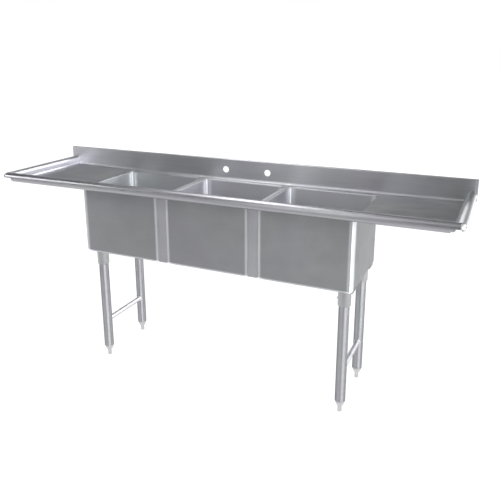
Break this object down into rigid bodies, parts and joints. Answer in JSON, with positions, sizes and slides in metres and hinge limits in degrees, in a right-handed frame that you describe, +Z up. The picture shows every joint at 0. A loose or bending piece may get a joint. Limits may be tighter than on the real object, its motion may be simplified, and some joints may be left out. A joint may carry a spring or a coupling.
{
  "type": "three compartment sink",
  "caption": "Free-standing stainless steel compartment sink with a drainboard at each end, rolled rims, low backsplash with faucet holes, lift-out strainers and tube legs with adjustable feet.",
  "frame": {"origin": "on the floor under the middle of the sink's outline", "axes": "+X to the user's right along the sink, +Y to the wall behind it, +Z up"},
  "size_m": [1.944, 0.488, 0.91],
  "materials": {
    "brushed_sheet": "brushed along the length, number 4",
    "satin_tube": "satin tube",
    "socket_steel": "satin cast steel",
    "foot_steel": "turned",
    "bright_steel": "polished",
    "black_rubber": "matte",
    "fibre": "pressed fibre"
  },
  "bodies": {
    "sink": {"front_rim": "brushed_sheet", "left_end_rim": "brushed_sheet", "right_end_rim": "brushed_sheet", "backsplash": "brushed_sheet", "left_splash_end": "brushed_sheet", "right_splash_end": "brushed_sheet", "bowl_deck": "brushed_sheet", "left_drainboard": "brushed_sheet", "right_drainboard": "brushed_sheet", "left_stiffener": "brushed_sheet", "right_stiffener": "brushed_sheet", "left_bowl": "brushed_sheet", "middle_bowl": "brushed_sheet", "right_bowl": "brushed_sheet", "left_filler": "brushed_sheet", "right_filler": "brushed_sheet", "front_left_socket": "socket_steel", "front_right_socket": "socket_steel", "rear_left_socket": "socket_steel", "rear_right_socket": "socket_steel", "socket_set_screws": "foot_steel", "front_left_leg": "satin_tube", "front_right_leg": "satin_tube", "rear_left_leg": "satin_tube", "rear_right_leg": "satin_tube", "left_cross_rail": "satin_tube", "right_cross_rail": "satin_tube", "front_left_insert": "foot_steel", "front_right_insert": "foot_steel", "rear_left_insert": "foot_steel", "rear_right_insert": "foot_steel", "left_strainer": "bright_steel", "middle_strainer": "bright_steel", "right_strainer": "bright_steel", "left_gasket": "black_rubber", "middle_gasket": "black_rubber", "right_gasket": "black_rubber", "left_friction_ring": "fibre", "middle_friction_ring": "fibre", "right_friction_ring": "fibre", "left_locknut": "bright_steel", "middle_locknut": "bright_steel", "right_locknut": "bright_steel"},
    "front_left_foot": {"front_left_foot": "foot_steel"},
    "front_right_foot": {"front_right_foot": "foot_steel"},
    "rear_left_foot": {"rear_left_foot": "foot_steel"},
    "rear_right_foot": {"rear_right_foot": "foot_steel"},
    "left_basket": {"left_basket": "bright_steel", "left_stopper": "black_rubber"},
    "middle_basket": {"middle_basket": "bright_steel", "middle_stopper": "black_rubber"},
    "right_basket": {"right_basket": "bright_steel", "right_stopper": "black_rubber"}
  },
  "joints": [
    {"name": "front_left_foot_height", "type": "slide", "parent": "sink", "child": "front_left_foot", "axis": [0, 0, -1], "range_m": [0, 0.025]},
    {"name": "front_right_foot_height", "type": "slide", "parent": "sink", "child": "front_right_foot", "axis": [0, 0, -1], "range_m": [0, 0.025]},
    {"name": "rear_left_foot_height", "type": "slide", "parent": "sink", "child": "rear_left_foot", "axis": [0, 0, -1], "range_m": [0, 0.025]},
    {"name": "rear_right_foot_height", "type": "slide", "parent": "sink", "child": "rear_right_foot", "axis": [0, 0, -1], "range_m": [0, 0.025]},
    {"name": "left_basket_lift", "type": "slide", "parent": "sink", "child": "left_basket", "axis": [0, 0, 1], "range_m": [0, 0.35]},
    {"name": "middle_basket_lift", "type": "slide", "parent": "sink", "child": "middle_basket", "axis": [0, 0, 1], "range_m": [0, 0.35]},
    {"name": "right_basket_lift", "type": "slide", "parent": "sink", "child": "right_basket", "axis": [0, 0, 1], "range_m": [0, 0.35]}
  ]
}
